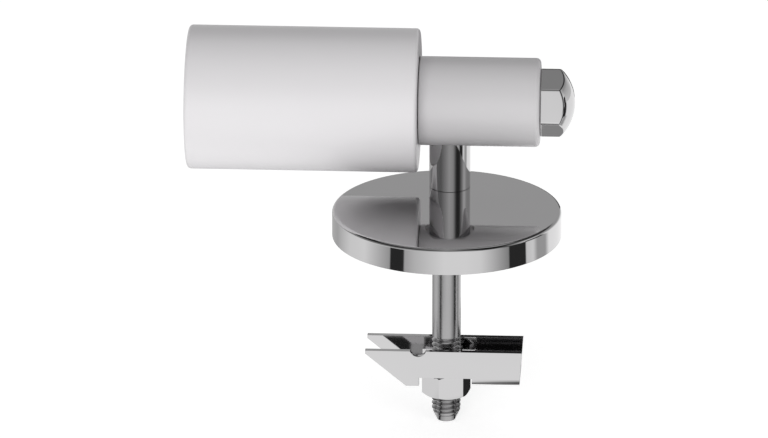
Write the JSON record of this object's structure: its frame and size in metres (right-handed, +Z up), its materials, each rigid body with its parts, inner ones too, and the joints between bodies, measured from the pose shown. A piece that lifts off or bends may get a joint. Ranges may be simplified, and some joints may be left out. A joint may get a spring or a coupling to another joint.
{
  "type": "toilet seat hinge",
  "caption": "Damped toilet seat hinge: white barrel and sleeve on a chrome post, eccentric chrome rosette, stud with a toggle bar below.",
  "frame": {"origin": "middle of the rosette gasket's underside, where the fixing stud passes through the ceramic face", "axes": "+Z up along the fixing stud, +X along the hinge line towards the cap nut (the middle of the pan), +Y from the post towards the seat"},
  "size_m": [0.0805, 0.052, 0.0804],
  "materials": {
    "chrome": "mirror plated",
    "base_plastic": "moulded",
    "rubber": "moulded",
    "zinc_steel": "zinc plated",
    "zinc_sheet": "bright zinc plated",
    "spring_steel": "blued",
    "white_sleeve": "gloss",
    "white_barrel": "polished",
    "damper_plastic": "moulded",
    "bush_plastic": "machined",
    "brass": "turned"
  },
  "bodies": {
    "rosette": {"rosette_cover": "chrome", "rosette_base": "base_plastic", "rosette_gasket": "rubber", "fixing_stud": "zinc_steel"},
    "post_arm": {"hinge_post": "chrome", "post_spring": "spring_steel", "post_clip": "spring_steel", "hinge_sleeve": "white_sleeve", "cap_nut": "chrome", "spindle": "zinc_steel", "spindle_washer": "spring_steel", "spindle_ring": "spring_steel", "damper_rotor": "damper_plastic", "vane_seals": "bush_plastic", "rotor_seals": "rubber"},
    "barrel": {"hinge_barrel": "white_barrel", "barrel_end_cap": "bush_plastic", "damper_casing": "damper_plastic", "damper_cap": "damper_plastic", "damper_cap_seal": "rubber", "lid_bush": "bush_plastic", "seat_inserts": "brass"},
    "toggle_bar": {"toggle_channel": "zinc_sheet"},
    "clamp_nut": {"toggle_nut": "zinc_sheet"}
  },
  "joints": [
    {"name": "post_swivel", "type": "hinge", "parent": "rosette", "child": "post_arm", "pos_m": [0, 0.014, 0.006], "axis": [0, 0, 1], "continuous": true},
    {"name": "seat_turn", "type": "hinge", "parent": "post_arm", "child": "barrel", "pos_m": [-0.03, 0.014, 0.0247], "axis": [1, 0, 0], "range_deg": [0, 110]},
    {"name": "toggle_travel", "type": "slide", "parent": "rosette", "child": "toggle_bar", "axis": [0, 0, 1], "range_m": [-0.004, 0.007]},
    {"name": "nut_spin", "type": "hinge", "parent": "toggle_bar", "child": "clamp_nut", "pos_m": [0, 0, -0.0323], "axis": [0, 0, 1], "range_deg": [-1476, 2556]}
  ],
  "couplings": [
    {"joint": "nut_spin", "follows": "toggle_travel", "rad_per_m": 6283.2}
  ]
}
